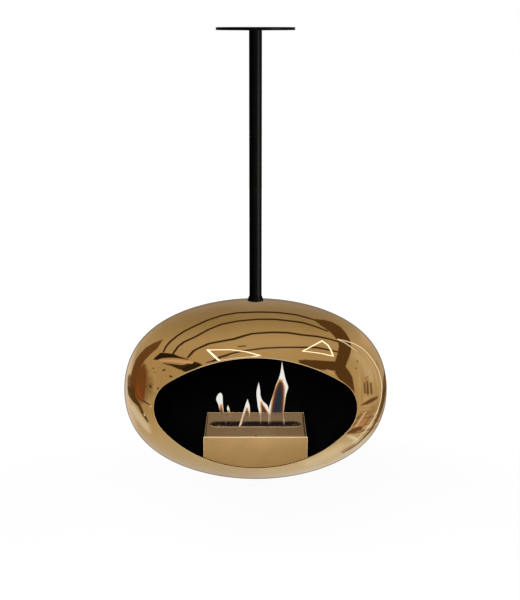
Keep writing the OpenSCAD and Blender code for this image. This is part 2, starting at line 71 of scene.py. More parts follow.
class Wire:
    # One socket of a node tree. Sums on wires add Math nodes; add() makes any other node.
    def __init__(self, tree, socket=None):
        self.tree = tree
        self.socket = socket

    def add(self, kind, settings=None, inputs=None, output=0):
        node = self.tree.nodes.new("ShaderNode" + kind)
        for name, value in (settings or {}).items():
            if name == "stops":
                setStops(node.color_ramp, value)
            else:
                setattr(node, name, value)
        for name, value in (inputs or {}).items():
            if isinstance(value, Wire):
                self.tree.links.new(value.socket, node.inputs[name])
            else:
                node.inputs[name].default_value = value
        return Wire(self.tree, node.outputs[output])

    def math(self, operation, *values):
        return self.add("Math", {"operation": operation}, dict(enumerate(values)))

    def __add__(self, other):
        return self.math("ADD", self, other)

    def __radd__(self, other):
        return self.math("ADD", other, self)

    def __sub__(self, other):
        return self.math("SUBTRACT", self, other)

    def __rsub__(self, other):
        return self.math("SUBTRACT", other, self)

    def __mul__(self, other):
        return self.math("MULTIPLY", self, other)

    def __rmul__(self, other):
        return self.math("MULTIPLY", other, self)

    def __truediv__(self, other):
        return self.math("DIVIDE", self, other)

    def __rtruediv__(self, other):
        return self.math("DIVIDE", other, self)

    def __neg__(self):
        return self.math("MULTIPLY", self, -1.0)

    # vector operations; dot products, lengths and distances come out as numbers
    def vector(self, operation, *values):
        isNumber = operation in ("DOT_PRODUCT", "LENGTH", "DISTANCE")
        return self.add("VectorMath", {"operation": operation}, dict(enumerate(values)),
                        output="Value" if isNumber else "Vector")

    def abs(self):
        return self.math("ABSOLUTE", self)

    def max(self, other):
        return self.math("MAXIMUM", self, other)

    def min(self, other):
        return self.math("MINIMUM", self, other)

    # 0 below low, 1 above high, smooth between
    def step(self, low, high):
        return self.add("MapRange", {"interpolation_type": "SMOOTHSTEP"},
                        {"Value": self, "From Min": low, "From Max": high})

    # 1 where the rise is over and the fall hasn't begun
    def band(self, rise, fall):
        return self.step(*rise) * (1.0 - self.step(*fall))

    # colour a where self is 0, colour b where it is 1
    def blend(self, a, b):
        return self.add("Mix", {"data_type": "RGBA"},
                        {"Factor": self, 6: a, 7: b}, output=2)

    # the same with shaders
    def mixShaders(self, a, b):
        return self.add("MixShader", None, {0: self, 1: a, 2: b})

    def ramp(self, stops):
        return self.add("ValToRGB", {"stops": stops}, {"Fac": self})


def setStops(ramp, stops):
    while len(ramp.elements) < len(stops):
        ramp.elements.new(1.0)
    for element, (place, colour) in zip(ramp.elements, stops):
        element.position = place
        element.color = colour


def rgb(r, g, b):
    return (r, g, b, 1.0)


def grey(value):
    return rgb(value, value, value)


# A material whose build function gets a bare wire and returns the shader's sockets by name
def makeMaterial(name, build, *details):
    material = bpy.data.materials.new(name)
    material.use_nodes = True
    tree = material.node_tree
    shader = tree.nodes["Principled BSDF"]
    for socket, value in build(Wire(tree), *details).items():
        if isinstance(value, Wire):
            tree.links.new(value.socket, shader.inputs[socket])
        else:
            shader.inputs[socket].default_value = value
    return material


def noise(bare, scale, detail=3.0, roughness=0.5, stretch=(1.0, 1.0, 1.0), place=(0.0, 0.0, 0.0)):
    spot = bare.add("TexCoord", output="Object")
    spot = bare.add("Mapping", None, {"Vector": spot, "Scale": stretch, "Location": place})
    return bare.add("TexNoise", None, {"Vector": spot, "Scale": scale, "Detail": detail,
                                       "Roughness": roughness})


def bump(height, strength, distance):
    return height.add("Bump", None, {"Strength": strength, "Distance": distance,
                                     "Height": height}, output="Normal")


xWay, yWay, zWay = (1.0, 0.0, 0.0), (0.0, 1.0, 0.0), (0.0, 0.0, 1.0)


# How far a surface point lies along one axis, in metres
def placeAlong(bare, way):
    spot = bare.add("TexCoord", output="Object")
    return spot.vector("DOT_PRODUCT", spot, way)


# In all the finishes, clouds, wipes, grain, flecks and so on are noise: its scale, detail,
# roughness and stretch. A relief is a bump's strength and its depth in metres.
goldLook = {
    "bright": rgb(0.77, 0.535, 0.262),
    "deep": rgb(0.70, 0.470, 0.215),
    "clouds": (5.0, 2.0),
    "fade": (0.35, 0.68),     # where the clouds pass from bright to deep
    "gloss": 0.022,
    "smudge": 0.035,          # how much duller the wiped patches are
    "wipes": (38.0, 5.0, 0.62, (1.0, 1.0, 0.35)),
    "wiped": (0.5, 0.8),
    "waves": (7.5, 1.0, 0.5, (1.0, 1.0, 1.0), (3.1, 0.4, 1.7)),
    "relief": (0.35, 0.0011),
}


def goldPolish(bare):
    clouds = noise(bare, *goldLook["clouds"])
    wipes = noise(bare, *goldLook["wipes"])
    return {
        "Base Color": clouds.step(*goldLook["fade"]).blend(goldLook["bright"], goldLook["deep"]),
        "Metallic": 1.0,
        "Roughness": goldLook["gloss"] + wipes.step(*goldLook["wiped"]) * goldLook["smudge"],
        "Normal": bump(noise(bare, *goldLook["waves"]), *goldLook["relief"]),
    }


burnerTop = -0.8945           # height of the burner's top
satinLook = {
    "bright": rgb(0.485, 0.287, 0.102),
    "deep": rgb(0.428, 0.248, 0.086),
    # edge: the tone of a painted highlight along the sheet's edges and along the slot's front lip
    "edge": rgb(0.95, 0.74, 0.44),
    "metal": 0.08,
    "grain": (900.0, 4.0, 0.6, (0.06, 1.0, 1.0)),
    "grainShare": 0.4,        # the grain's share in the tone
    "clouds": (22.0, 3.0),
    "fade": (0.25, 0.85),
    "dull": 0.42,
    "grainDull": 0.10,
    "relief": (0.08, 0.00015),
    "lip": 0.0016,            # how far down the painted highlight along the sheet's top edge reaches
    "panelBack": -0.080,      # the painted edge highlight is brightest in front of this
    "panelHalf": 0.117,
    "lipBehind": 0.3,         # the painted highlight's strength further back, and at the sides
    "lipBeside": 0.5,
}


def satinGrain(bare, look):
    grain = noise(bare, *satinLook["grain"])
    tone = (grain - 0.5) * satinLook["grainShare"] + noise(bare, *satinLook["clouds"])
    return grain, tone.step(*satinLook["fade"]).blend(look["bright"], look["deep"])


def goldSatin(bare):
    grain, colour = satinGrain(bare, satinLook)
    # painted highlight: a light line along the panel's top edge, strongest at the front, and down
    # its sides
    lip, back = satinLook["lip"], satinLook["panelBack"]
    height = placeAlong(bare, zWay) - burnerTop
    across = placeAlong(bare, xWay).abs() - satinLook["panelHalf"]
    front = 1.0 - placeAlong(bare, yWay).step(back - 0.001, back + 0.001)
    edge = height.step(-lip, -lip * 0.7) * front.max(satinLook["lipBehind"])
    edge = edge.max(across.step(-lip * 0.9, -lip * 0.6) * satinLook["lipBeside"])
    return {
        "Base Color": edge.blend(colour, satinLook["edge"]),
        "Metallic": satinLook["metal"],
        "Roughness": satinLook["dull"] + grain * satinLook["grainDull"],
        "Normal": bump(grain, *satinLook["relief"]),
    }


# The burner's top plate, with distances in metres. away counts from the slot's outline.
plateLook = {
    "bright": rgb(0.475, 0.290, 0.137),
    "deep": rgb(0.405, 0.248, 0.117),
    # back: painted light, a lighter tone the plate takes towards its back
    "back": rgb(0.67, 0.43, 0.215),
    "backLightRamp": (-0.03, 0.06),
    "backLightShare": 0.8,
    "heat": rgb(0.25, 0.155, 0.105),
    "heatRamp": (0.0006, 0.0040),
    "soot": rgb(0.028, 0.014, 0.009),
    "sootRamp": (-0.0001, 0.0004),
    # gap: the tone of painted shade in the gap between the plate and the casing
    "gap": rgb(0.045, 0.028, 0.018),
    "gapShadeShare": 0.8,
    "half": 0.112,            # the plate's sides, where painted shade stands for the gap to the casing
    "rear": 0.0795,
    "slotStraight": 0.0875,   # half the length of the slot's straight sides
    "slotRound": 0.0172,      # radius of its ends
    "liftHole": (0.0, -0.0765, burnerTop),
    "holeShadeRamp": (0.0024, 0.0032),
    # lip: where the painted highlight along the slot's front lip lies
    "lip": ((0.0009, 0.0014), (0.0021, 0.0026)),
    "lipEnd": (-0.012, -0.006),
    "lipShare": 0.34,
    "flecks": (420.0, 3.0, 0.6),
    "endGlintShare": 0.80,
    "dull": 0.44,
    "sootDull": 0.3,
}


def slottedPlate(bare):
    grain, colour = satinGrain(bare, plateLook)
    half, rear = plateLook["half"], plateLook["rear"]
    side, along = placeAlong(bare, xWay), placeAlong(bare, yWay)
    across = side.abs() - plateLook["slotStraight"]
    offset = bare.add("CombineXYZ", None, {"X": across.max(0.0), "Y": along})
    away = offset.vector("LENGTH", offset) - plateLook["slotRound"]
    spot = bare.add("TexCoord", output="Object")
    hole = spot.vector("DISTANCE", spot, plateLook["liftHole"])
    # soot along the slot's edge, and painted shade in the soot's colour at the lift hole
    soot = 1.0 - away.step(*plateLook["sootRamp"]).min(hole.step(*plateLook["holeShadeRamp"]))
    heat = (1.0 - away.step(*plateLook["heatRamp"])) * (0.5 + grain * 0.4)
    # painted light: the plate grows lighter towards its back
    backLight = along.step(*plateLook["backLightRamp"]) * plateLook["backLightShare"]
    colour = backLight.blend(colour, plateLook["back"])
    colour = heat.blend(colour, plateLook["heat"])
    # painted highlight: a light line along the rim's front lip
    lip = away.band(*plateLook["lip"]) * (1.0 - along.step(*plateLook["lipEnd"]))
    colour = (lip * plateLook["lipShare"]).blend(colour, satinLook["edge"])
    # painted shade: dark lines along the plate's sides and back edge, where the gap to the casing
    # lies
    gap = side.step(half - 0.0024, half - 0.0010)
    gap = gap.max((-side).step(half - 0.0016, half) * 0.5)
    gap = gap.max(along.step(rear - 0.0040, rear) * 0.6)
    colour = (gap * plateLook["gapShadeShare"]).blend(colour, plateLook["gap"])
    # painted highlight: gold flecks through the soot at the slot's ends
    fleck = noise(bare, *plateLook["flecks"]).step(0.52, 0.60) * across.step(0.002, 0.008)
    soot = soot * (1.0 - fleck * plateLook["endGlintShare"])
    return {
        "Base Color": soot.blend(colour, plateLook["soot"]),
        "Metallic": satinLook["metal"] - soot * satinLook["metal"],
        "Roughness": (plateLook["dull"] + grain * satinLook["grainDull"]
                      + soot * plateLook["sootDull"]),
        "Normal": bump(grain, *satinLook["relief"]),
    }


# Plain finishes by material slot: two tones that fade into each other in clouds, a grain, and a
# roughness of dull plus spread times the grain, or times the clouds where spreadIn says so
finishes = {
    "black_paint": {
        "name": "satin black paint",
        "tones": (rgb(0.0006, 0.0006, 0.0005), rgb(0.0016, 0.0014, 0.0012)),
        "clouds": (24.0, 4.0, 0.7), "fade": (0.45, 0.8),
        "grain": (380.0, 2.0), "relief": (0.10, 0.00012),
        "dull": 0.34, "spread": 0.10, "spreadIn": "clouds", "fixed": {"IOR": 1.07},
    },
    "black_lining": {
        "name": "matt black lining",
        "tones": (rgb(0.0016, 0.0016, 0.0018), rgb(0.0035, 0.0034, 0.0034)),
        "clouds": (7.0, 4.0, 0.6), "fade": (0.4, 0.75),
        "grain": (420.0, 4.0, 0.65), "relief": (0.3, 0.0003),
        "dull": 0.78, "spread": 0.15, "fixed": {"IOR": 1.05},
    },
    "bare_steel": {
        "name": "zinc plated steel",
        "tones": (rgb(0.56, 0.57, 0.60), rgb(0.42, 0.43, 0.46)),
        "clouds": (160.0, 2.0, 0.5), "fade": (0.35, 0.7),
        "grain": (60.0, 3.0, 0.6, (1.0, 1.0, 30.0)), "relief": (0.12, 0.0002),
        "dull": 0.26, "spread": 0.22, "fixed": {"Metallic": 1.0},
    },
    "stainless": {
        "name": "brushed stainless sheet",
        "tones": (rgb(0.52, 0.52, 0.53), rgb(0.44, 0.41, 0.37)),
        "clouds": (9.0, 3.0), "fade": (0.4, 0.8),
        "grain": (700.0, 4.0, 0.62, (0.03, 1.0, 1.0)), "relief": (0.16, 0.0002),
        "dull": 0.24, "spread": 0.2, "fixed": {"Metallic": 1.0},
    },
    "bronze": {
        "name": "turned bronze",
        "tones": (rgb(0.52, 0.33, 0.15), rgb(0.40, 0.24, 0.10)),
        "clouds": (70.0, 3.0, 0.6, (1.0, 1.0, 24.0)), "fade": (0.3, 0.75),
        "grain": (70.0, 3.0, 0.6, (1.0, 1.0, 24.0)), "relief": (0.15, 0.0002),
        "dull": 0.28, "spread": 0.2, "fixed": {"Metallic": 1.0},
    },
    "rubber": {
        "name": "black rubber",
        "tones": (grey(0.014), grey(0.026)),
        "clouds": (90.0, 3.0), "fade": (0.4, 0.8),
        "grain": (520.0, 3.0, 0.6), "relief": (0.3, 0.0003),
        "dull": 0.66, "spread": 0.2, "fixed": {"Specular IOR Level": 0.35},
    },
}


def plainFinish(bare, look):
    shades = {"clouds": noise(bare, *look["clouds"]), "grain": noise(bare, *look["grain"])}
    return {
        "Base Color": shades["clouds"].step(*look["fade"]).blend(*look["tones"]),
        "Roughness": look["dull"] + shades[look.get("spreadIn", "grain")] * look["spread"],
        "Normal": bump(shades["grain"], *look["relief"]),
    } | look["fixed"]


# The fuel tank's sheet, black with soot towards its mouth
tankLook = {
    "soot": rgb(0.050, 0.030, 0.026),
    "sootRamp": (-0.036, -0.012),     # below the tank's top
    "licks": (60.0, 4.0, 0.6, (1.0, 1.0, 0.5)),
    "lick": 0.012,
    "gold": rgb(0.30, 0.19, 0.055),   # painted highlight: gold flecks in the soot at both ends of the slot
    "flecks": (260.0, 3.0, 0.6),
    "endGlintShare": 0.75,
}


def sootyStainless(bare):
    sheet = plainFinish(bare, finishes["stainless"])
    height = placeAlong(bare, zWay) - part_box("fuel_tank")[1].z
    lick = noise(bare, *tankLook["licks"]) - 0.5
    soot = (height + lick * tankLook["lick"]).step(*tankLook["sootRamp"])
    across = placeAlong(bare, xWay).abs() - plateLook["slotStraight"]
    # painted highlight: gold flecks at the slot's ends, in the tank's soot
    fleck = noise(bare, *tankLook["flecks"]).step(0.48, 0.56) * across.step(-0.012, 0.002)
    sootAndGlints = (fleck * tankLook["endGlintShare"]).blend(tankLook["soot"], tankLook["gold"])
    return sheet | {
        "Base Color": soot.blend(sheet["Base Color"], sootAndGlints),
        "Metallic": 1.0 - soot * 0.8,
        "Roughness": sheet["Roughness"] + soot * 0.3,
    }


woolLook = {
    "white": rgb(0.80, 0.78, 0.73),
    "shade": rgb(0.58, 0.55, 0.49),
    "scorch": rgb(0.36, 0.31, 0.25),
    "tufts": (260.0, 6.0, 0.7, (1.0, 1.0, 2.2)),
    "scorches": (26.0, 4.0, 0.6),
    "relief": (0.8, 0.0014),
}


def mineralFibre(bare):
    tuft = noise(bare, *woolLook["tufts"])
    white = tuft.step(0.25, 0.7).blend(woolLook["shade"], woolLook["white"])
    scorch = noise(bare, *woolLook["scorches"]).step(0.56, 0.74)
    return {
        "Base Color": scorch.blend(white, woolLook["scorch"]),
        "Roughness": 0.94,
        "Specular IOR Level": 0.1,
        "Normal": bump(tuft, *woolLook["relief"]),
    }


# Fire, from values on each mesh in millimetres: inset counts from the flame's outline inwards,
# hollow from the dark heart's outline inwards, and height from the burner's top plate upwards
fire = {
    "white": rgb(0.84, 0.81, 0.77),
    "cream": rgb(0.86, 0.66, 0.40),
    "amber": rgb(0.50, 0.235, 0.095),
    "smoke": rgb(0.105, 0.038, 0.022),
    "slate": rgb(0.024, 0.027, 0.035),
    "haze": rgb(0.19, 0.125, 0.115),
    "streak": rgb(0.74, 0.60, 0.36),
    "flicker": (70.0, 3.0, 0.55, (1.0, 1.0, 0.4)),
    "heartFlicker": 2.2,
    "skinFlicker": 26.0,
    "skinRamp": (4.0, 44.0),          # from cream at the foot to white
    "layers": [("cream", -5.0, -2.2), ("amber", -3.6, -1.0), ("smoke", -1.3, 1.8),
               ("slate", 2.0, 7.0)],  # tones into the heart, and where each sets in
    "lowRamp": (22.0, 34.0),          # below this the flame is thin and clear
    "heartRamp": (-2.0, 0.0),
    "rootRamp": (-2.0, 10.0),
    "bodyLift": 12.0,
    "clearRamp": (-1.6, 1.4),
    "skinDepth": (1.6, 3.2),
    "edgeRamp": (-0.2, 0.9),
}


def fireLook(bare):
    inset, hollow, height, body = [
        bare.add("Attribute", {"attribute_name": label}, output="Fac")
        for label in ("inset", "hollow", "height", "body")]
    flicker = noise(bare, *fire["flicker"]) - 0.5
    heart = hollow + flicker * fire["heartFlicker"]
    skin = (height + flicker * fire["skinFlicker"]).step(*fire["skinRamp"])
    colour = skin.blend(fire["cream"], fire["white"])
    for tone, outside, inside in fire["layers"]:
        colour = heart.step(outside, inside).blend(colour, fire[tone])
    low = 1.0 - height.step(*fire["lowRamp"])
    within = heart.step(*fire["heartRamp"])
    colour = (low * within).blend(colour, fire["haze"])
    colour = (low * (1.0 - within) * 0.6).blend(colour, fire["streak"])
    root = (height + body * fire["bodyLift"]).step(*fire["rootRamp"])
    clear = 1.0 - heart.step(*fire["clearRamp"]) * (0.20 + low * 0.68)
    thin = 0.86 + inset.step(*fire["skinDepth"]) * 0.11
    shown = clear * (1.0 - low * (1.0 - body) * thin)
    return {
        "Base Color": grey(0.0),
        "Roughness": 1.0,
        "Specular IOR Level": 0.0,
        "Emission Color": colour,
        "Emission Strength": 1.0,
        "Alpha": shown * root * inset.step(*fire["edgeRamp"]),
    }


# Materials by slot, or by the name of a node that has its own
looks = {
    "gold_polish": makeMaterial("polished gold", goldPolish),
    "gold_satin": makeMaterial("satin gold", goldSatin),
    "burner_top_plate": makeMaterial("satin gold slotted plate", slottedPlate),
    "fuel_tank": makeMaterial("sooty stainless sheet", sootyStainless),
    "ceramic_wool": makeMaterial("mineral fibre", mineralFibre),
    "fire": makeMaterial("spirit flame", fireLook),
}
for slotName, look in finishes.items():
    looks[slotName] = makeMaterial(look["name"], plainFinish, look)
print("materials:", len(looks))


# Width of the small round put on a node's sharp edges, in metres
edgeRounds = {
    "ceiling_plate": 0.0006,
    "pole_collar": 0.0003,
    "burner_casing": 0.0004,
    "burner_front_panel": 0.0006,
    "burner_top_plate": 0.0005,
    "damper_plate": 0.0003,
    "burner_tray": 0.0004,
    "top_saddle": 0.0008,
}
rounding = {"weld": 0.00001, "segments": 2, "angle": 38.0}
softAngle = {"node": 32.0, "skin": 50.0}      # degrees up to which an edge is shaded smooth


def smoothByAngle(piece, degrees):
    mesh = piece.data
    mesh.shade_smooth()
    mesh.set_sharp_from_angle(angle=math.radians(degrees))


def dressNode(name, slotName):
    node = frame["nodes"][name]
    node.data.materials.clear()
    node.data.materials.append(looks.get(name, looks[slotName]))
    smoothByAngle(node, softAngle["node"])
    if name in edgeRounds:
        weld = node.modifiers.new("weld", "WELD")
        weld.merge_threshold = rounding["weld"]
        bevel = node.modifiers.new("edge round", "BEVEL")
        bevel.width = edgeRounds[name]
        bevel.segments = rounding["segments"]
        bevel.limit_method = "ANGLE"
        bevel.angle_limit = math.radians(rounding["angle"])
        # the flat faces keep flat shading
        flat = node.modifiers.new("face normals", "WEIGHTED_NORMAL")
        flat.mode = "FACE_AREA"
        flat.keep_sharp = False


for part in frame["record"]["subparts"]:
    dressNode(part["node"], part["material_slot"])


def makePiece(name, points, faces, look, body):
    mesh = bpy.data.meshes.new(name)
    mesh.from_pydata([tuple(p) for p in points], [], faces)
    mesh.materials.append(look)
    mesh.validate()
    mesh.update()
    piece = bpy.data.objects.new(name, mesh)
    bpy.context.scene.collection.objects.link(piece)
    mesh.shade_smooth()
    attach(piece, body)
    return piece


cocoon = {
    "crown": -0.600,          # height of the cocoon's top
    "halfWidth": 0.300,
    "halfHeight": 0.2065,
    "fullness": 0.0289,       # how far the outline swells past an ellipse
    "shoulder": 0.0114,       # and how far that swell leans to the ends
    "spindleHole": 0.0105,
    "holeDepth": 0.03,        # how far below the crown the spindle's hole is cut
}
opening = {
    "halfWidth": 0.221,
    "rise": 0.001,
    "top": 0.120,
    "bottom": -0.134,
    "endRadius": 0.071,
    "arcPoints": (200, 400),  # points on an end's arc and on a wide arc
    "firstRow": 0.0052,       # share of the way to the back where the rows start
    "rowGrowth": 1.25,
}
# The two skins. outer and inner are how far their faces lie under the cocoon's outline. reach is
# how far the opening's round edge comes over the outer face, and share its part of the cut.
skins = {
    "outerShell": {"node": "outer_shell", "slot": "gold_polish", "outer": 0.0, "inner": 0.002,
                   "columns": 360, "rows": 120, "reach": 0.0022, "share": 0.6},
    "innerLiner": {"node": "inner_liner", "slot": "black_lining", "outer": 0.0025, "inner": 0.004,
                   "columns": 240, "rows": 72, "reach": 0.0006, "share": 0.3},
}
innerRound = {"reach": 0.3, "share": 0.2}     # of the outer round's reach, and of the cut
roundRings = (8, 5)
cocoonCentre = np.array([0.0, 0.0, cocoon["crown"] - cocoon["halfHeight"]])


# The cocoon's outline against the angle, as its distance along X and its radius round X
def outlineAt(angle):
    lean = cocoon["fullness"] + cocoon["shoulder"] * np.cos(2 * angle)
    swell = 1 + np.sin(2 * angle) ** 2 * lean
    return (cocoon["halfWidth"] * np.cos(angle) * swell,
            cocoon["halfHeight"] * np.sin(angle) * swell)


outlineAngles = np.linspace(0, math.pi / 2, 6001)
outlineX, outlineR = outlineAt(outlineAngles)
outlineSlope = np.arctan2(outlineR, outlineX)
outlineReach = np.hypot(outlineX, outlineR)
tangentX = np.gradient(outlineX)
tangentR = np.gradient(outlineR)
tangentSize = np.hypot(tangentX, tangentR)
outlineNormalX = tangentR / tangentSize
outlineNormalR = -tangentX / tangentSize


# Points on the cocoon along unit directions from its centre, cut back by inset
def skinAt(directions, inset):
    side = np.sqrt(np.clip(1 - directions[:, 0] ** 2, 1e-18, None))
    slope = np.arctan2(side, np.abs(directions[:, 0]))
    reach = np.interp(slope, outlineSlope, outlineReach)
    normalX = np.interp(slope, outlineSlope, outlineNormalX) * np.sign(directions[:, 0])
    normalR = np.interp(slope, outlineSlope, outlineNormalR)
    around = directions[:, 1:] / side[:, None]
    normals = np.column_stack([normalX, around * normalR[:, None]])
    return directions * reach[:, None] - normals * inset


# Four quarter outlines of a narrow arc and a wide arc, as count evenly spaced (x, z) points
def ovalOutline(count):
    points = []
    for sideways, rise in ((1, 1), (-1, 1), (-1, -1), (1, -1)):
        tall = (opening["top"] if rise > 0 else opening["bottom"]) - opening["rise"]
        height, half, end = abs(tall), opening["halfWidth"], opening["endRadius"]
        wide = (half ** 2 + height ** 2 - 2 * half * end) / (2 * (height - end))
        centreX, centreZ = half - end, height - wide
        blend = math.atan2(-centreZ, centreX)
        small = [(centreX + end * math.cos(a), end * math.sin(a))
                 for a in np.linspace(0, blend, opening["arcPoints"][0])]
        large = [(wide * math.cos(a), centreZ + wide * math.sin(a))
                 for a in np.linspace(blend, math.pi / 2, opening["arcPoints"][1])]
        quarter = [(sideways * x, opening["rise"] + rise * z) for x, z in small + large[1:]]
        points += quarter[::sideways * rise][:-1]
    points = np.array(points + points[:1])
    along = np.concatenate([[0], np.cumsum(np.hypot(*np.diff(points, axis=0).T))])
    even = np.linspace(0, along[-1], count, endpoint=False)
    return np.column_stack([np.interp(even, along, points[:, k]) for k in (0, 1)])


# Radius of the cocoon round X at a distance along X
def radiusAtX(x):
    return np.interp(np.abs(x), outlineX[::-1], outlineR[::-1])


# Directions whose skin points, cut back by inset, lie on the opening's outline
def rimDirections(outline, inset):
    aim = outline.copy()
    for _ in range(14):
        depth = np.sqrt(np.clip(radiusAtX(aim[:, 0]) ** 2 - aim[:, 1] ** 2, 1e-9, None))
        directions = np.column_stack([aim[:, 0], -depth, aim[:, 1]])
        directions /= np.linalg.norm(directions, axis=1)[:, None]
        aim = aim + outline - skinAt(directions, inset)[:, [0, 2]]
    return directions


# A ring of points moved by a length towards another ring
def shifted(ring, target, length):
    way = target - ring
    return ring + way * (length / np.linalg.norm(way, axis=1)[:, None])


# Rings of a round that runs from start to end and bends at corner
def roundEdge(start, corner, end, count):
    return [(1 - t) ** 2 * start + 2 * t * (1 - t) * corner + t ** 2 * end
            for t in np.linspace(0, 1, count)]


# Open skin of even wall: an outer and an inner grid that run from the opening's rim to the
# cocoon's back, a rounded cut edge between them, and a hole in the crown
def openSkin(name, skin):
    columns, rows = skin["columns"], skin["rows"]
    outline = ovalOutline(columns)
    back = np.array([0.0, 1.0, 0.0])
    near = opening["firstRow"]
    grids = []
    for inset in (skin["outer"], skin["inner"]):
        start = rimDirections(outline, inset)
        turn = np.arccos(np.clip(start @ back, -1, 1))[:, None]
        grid = []
        for k in range(rows):
            share = near + (1 - near) * (k / rows) ** opening["rowGrowth"] if k else 0.0
            way = (np.sin((1 - share) * turn) * start + np.sin(share * turn) * back) / np.sin(turn)
            grid.append(skinAt(way, inset) + cocoonCentre)
        grids.append(grid)
    outerGrid, innerGrid = grids
    # the cut edge: a wide round outside, a small one inside
    first, last = outerGrid[0], innerGrid[0]
    outerNear = shifted(first, outerGrid[1], skin["reach"])
    innerNear = shifted(last, innerGrid[1], skin["reach"] * innerRound["reach"])
    cutNear = first + (last - first) * skin["share"]
    cutFar = last + (first - last) * innerRound["share"]
    rings = (outerGrid[:0:-1] + roundEdge(outerNear, first, cutNear, roundRings[0])
             + roundEdge(cutFar, last, innerNear, roundRings[1]) + innerGrid[1:])
    points = np.concatenate(rings + [[cocoonCentre + skinAt(back[None], skin["outer"])[0]],
                                     [cocoonCentre + skinAt(back[None], skin["inner"])[0]]])
    outerPole, innerPole = len(points) - 2, len(points) - 1
    isHole = (np.hypot(points[:, 0], points[:, 1]) < cocoon["spindleHole"]) & \
        (points[:, 2] > cocoon["crown"] - cocoon["holeDepth"])
    faces = []
    total = len(rings)
    for i in range(total - 1):
        for j in range(columns):
            right = (j + 1) % columns
            quad = (i * columns + j, (i + 1) * columns + j,
                    (i + 1) * columns + right, i * columns + right)
            if not isHole[list(quad)].any():
                faces.append(quad)
    for j in range(columns):
        right = (j + 1) % columns
        faces.append((outerPole, j, right))
        faces.append((innerPole, (total - 1) * columns + right, (total - 1) * columns + j))
    # close the hole's wall: each free edge of the outer grid meets its twin in the inner grid
    used = {(a, b) for face in faces for a, b in zip(face, face[1:] + face[:1])}
    for face in list(faces):
        for a, b in zip(face, face[1:] + face[:1]):
            if (b, a) in used or a // columns >= rows or b // columns >= rows:
                continue
            twinA = (total - 1 - a // columns) * columns + a % columns
            twinB = (total - 1 - b // columns) * columns + b % columns
            if (twinA, twinB) in used and (twinB, twinA) not in used:
                faces.append((b, a, twinA, twinB))
    piece = makePiece(name, points, faces, looks[skin["slot"]], "cocoon")
    smoothByAngle(piece, softAngle["skin"])
    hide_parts(skin["node"])
    print(name, "built:", len(faces), "faces")


for skinName, skin in skins.items():
    openSkin(skinName, skin)


wool = {
    "cell": 0.0032,
    "sink": 0.0016,           # how far all faces lie inside the box
    "tuft": 0.0034,           # how deep the hollows between tufts are
    "seed": 7,
    "waves": 14,
    "pitch": (90, 420),       # radians a metre, from long waves to short ones
    "edge": 0.14,             # the share of each side that its neighbours' tufts reach
    "corner": 0.1,
    "cornerFall": 0.004,
}


def buildWool():
    low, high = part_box("ceramic_wool")
    size = high - low
    counts = [max(2, round(size[k] / wool["cell"])) for k in range(3)]
    rng = np.random.default_rng(wool["seed"])
    index, points, faces = {}, [], []

    def pointAt(key):
        if key not in index:
            index[key] = len(points)
            points.append([low[k] + size[k] * key[k] / counts[k] for k in range(3)])
        return index[key]

    for axis in range(3):
        u, v = [k for k in range(3) if k != axis]
        for end in (0, counts[axis]):
            for a in range(counts[u]):
                for b in range(counts[v]):
                    quad = []
                    for da, db in ((0, 0), (1, 0), (1, 1), (0, 1)):
                        spot = [0, 0, 0]
                        spot[axis], spot[u], spot[v] = end, a + da, b + db
                        quad.append(pointAt(tuple(spot)))
                    flip = (end == 0) == (axis != 1)
                    faces.append(tuple(quad[::-1] if flip else quad))
    points = np.array(points)
    local = (points - np.array((low + high) / 2)) / np.array(size / 2)
    # round the block's corners, then sink its faces by tufts
    corner = np.clip(np.abs(local) - (1 - wool["corner"]), 0, None) / wool["corner"]
    fall = np.minimum(1, np.linalg.norm(corner, axis=1) ** 2 * 0.25)
    waves = np.zeros(len(points))
    for _ in range(wool["waves"]):
        pitch = rng.uniform(*wool["pitch"])
        way = rng.normal(size=3)
        way /= np.linalg.norm(way)
        waves += np.sin(points @ way * pitch + rng.uniform(0, 6.28)) * (120 / (pitch + 60))
    waves = waves / np.abs(waves).max()
    inward = wool["sink"] + (0.5 - 0.5 * waves) * wool["tuft"] + fall * wool["cornerFall"]
    nearest = np.argmax(np.abs(local), axis=1)
    for k in range(3):
        share = np.clip((np.abs(local[:, k]) - (1 - wool["edge"])) / wool["edge"], 0, 1)
        points[:, k] -= np.sign(local[:, k]) * inward * np.where(nearest == k, 1.0, share)
    piece = makePiece("fuelWool", points, faces, looks["ceramic_wool"], "burner")
    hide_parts("ceramic_wool")


buildWool()
print("wool built")


